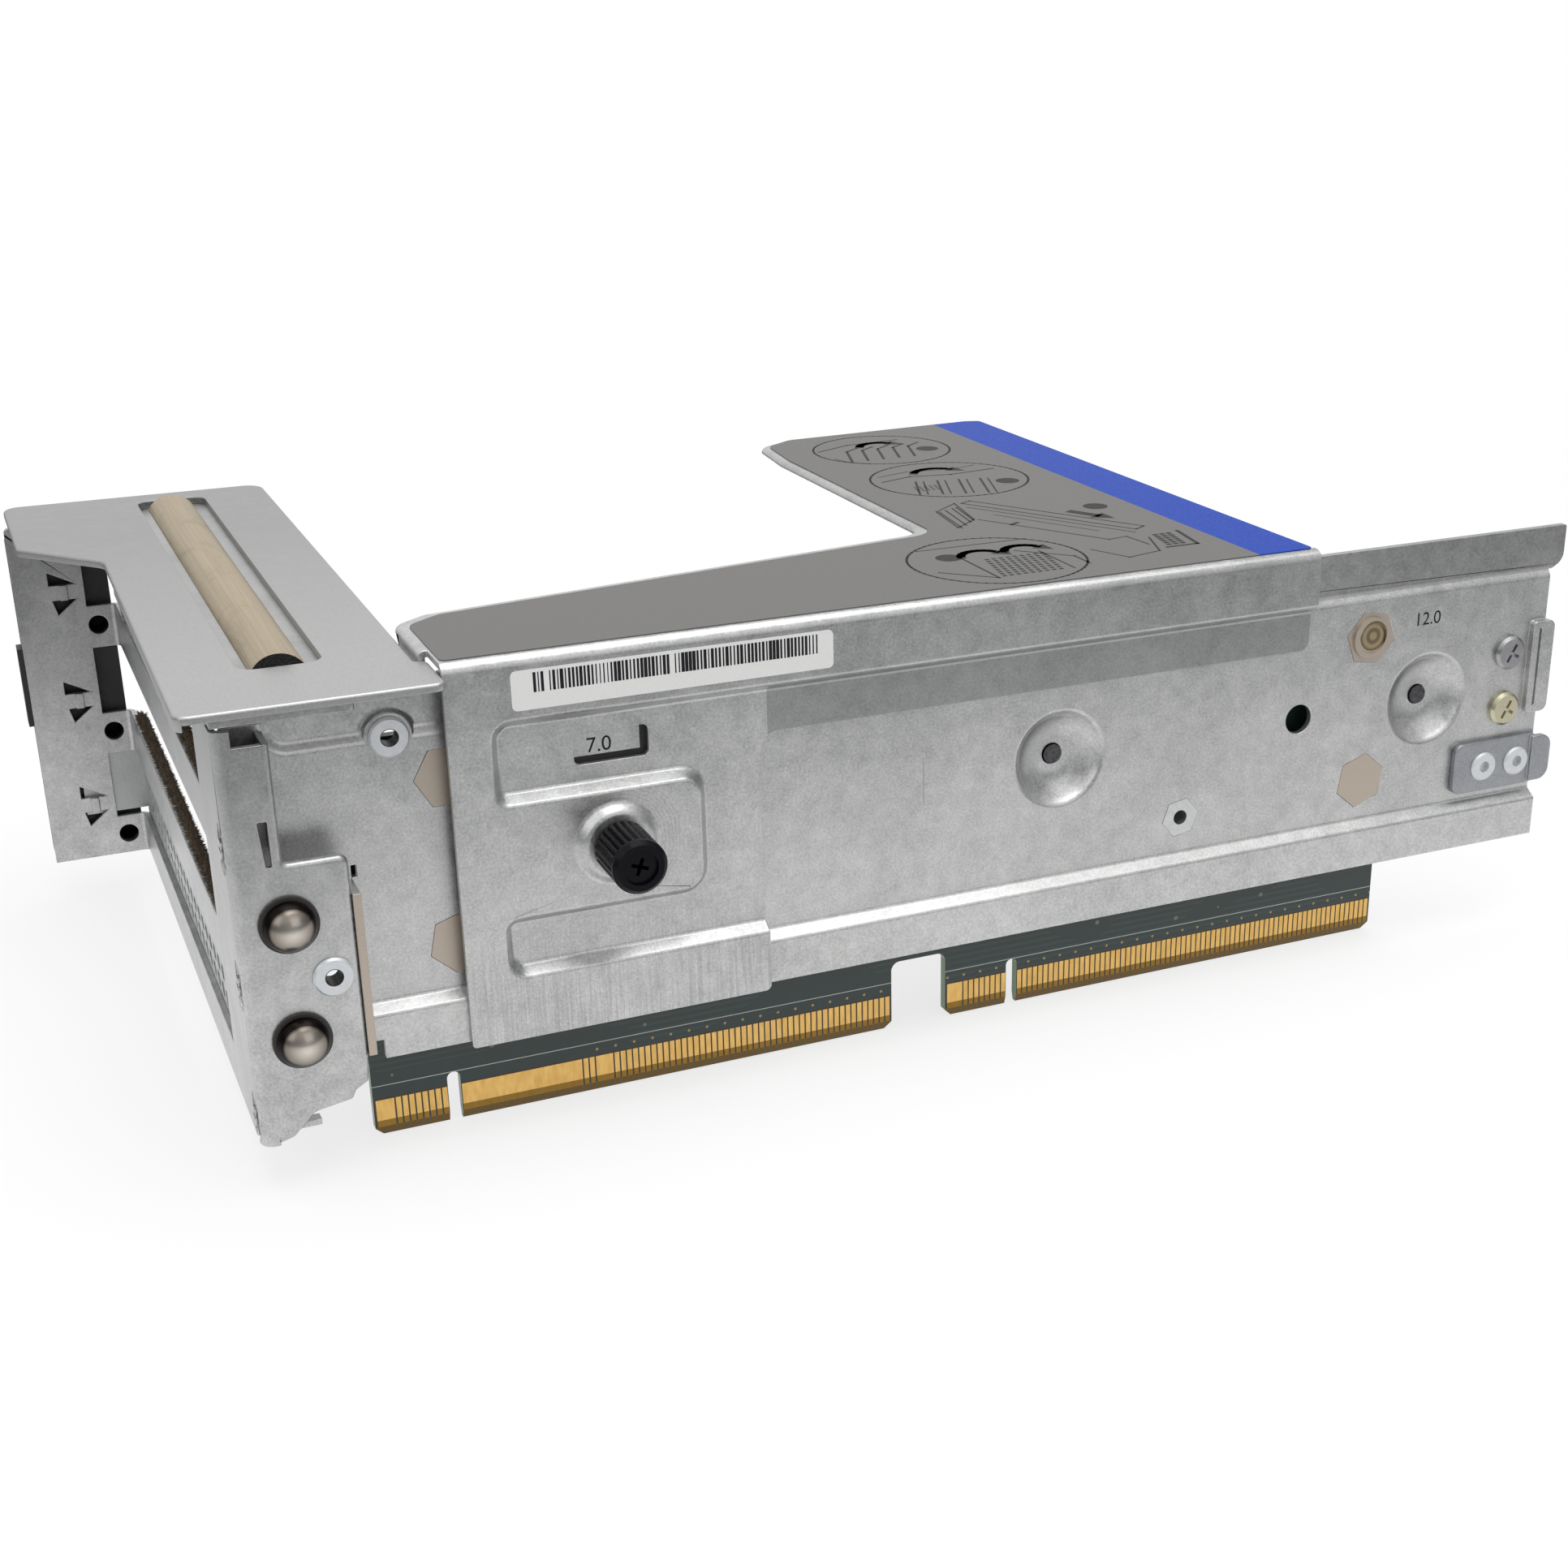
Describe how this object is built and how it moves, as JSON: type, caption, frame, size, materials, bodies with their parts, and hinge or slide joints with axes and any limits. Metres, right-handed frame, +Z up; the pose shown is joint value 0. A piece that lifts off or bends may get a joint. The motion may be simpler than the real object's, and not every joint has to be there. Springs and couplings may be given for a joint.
{
  "type": "riser card",
  "caption": "Server riser card module: card-edge board on a pressed steel plate with a folded rear bracket for card slots and an L-shaped cover held by a captive thumbscrew.",
  "frame": {"origin": "middle of the base of the overall box, on the plane of the card edge's lower face", "axes": "+X along the card edge away from the rear bracket, +Y from the formed plate towards the cards' free edges, +Z up"},
  "size_m": [0.247, 0.145, 0.0734],
  "materials": {
    "solder_mask": "dark green glass-fibre board",
    "gold": "gold-plated contact pads",
    "connector_black": "black moulded connector",
    "zinc_steel": "galvanised sheet steel",
    "bare_steel": "pressed-in steel standoffs",
    "zinc_hardware": "zinc-plated screws",
    "dark_screw": "dark steel screws",
    "dark_zinc_steel": "darker galvanised sheet steel",
    "printed_film": "printed plastic film",
    "paper_label": "white adhesive label",
    "knob_black": "black fluted knob",
    "nickel": "nickel-plated domed studs",
    "rim_dark": "dark washers",
    "conductive_cloth": "conductive cloth over foam",
    "gasket_pile": "conductive pile strip",
    "retainer_black": "black moulded retainer"
  },
  "bodies": {
    "riser": {"riser_board": "solder_mask", "gold_contacts": "gold", "slot_connector_1": "connector_black", "slot_connector_2": "connector_black", "slot_connector_3": "connector_black", "main_plate": "zinc_steel", "hex_standoffs": "bare_steel", "standoff_screws": "zinc_hardware", "dimple_screws": "dark_screw", "press_nut": "zinc_hardware", "round_nut": "zinc_hardware", "thumbscrew_nut": "zinc_hardware", "plate_screws": "zinc_hardware", "end_bracket": "dark_zinc_steel", "end_rivets": "zinc_hardware", "cover": "zinc_steel", "cover_film": "printed_film", "barcode_sticker": "paper_label", "rear_bracket": "zinc_steel", "guide_studs": "nickel", "stud_rims": "rim_dark", "flange_nut": "zinc_hardware", "panel_screws": "zinc_hardware", "rear_top_plate": "zinc_steel", "top_gasket": "conductive_cloth", "slot_filler": "zinc_steel", "bar_gaskets": "gasket_pile", "slot_retainer": "retainer_black"},
    "thumbscrew": {"thumbscrew_knob": "knob_black", "thumbscrew_screw": "dark_screw"}
  },
  "joints": [
    {"name": "thumbscrew_turn", "type": "hinge", "parent": "riser", "child": "thumbscrew", "pos_m": [-0.05065, -0.0665, 0.0433], "axis": [0, -1, 0], "continuous": true}
  ]
}
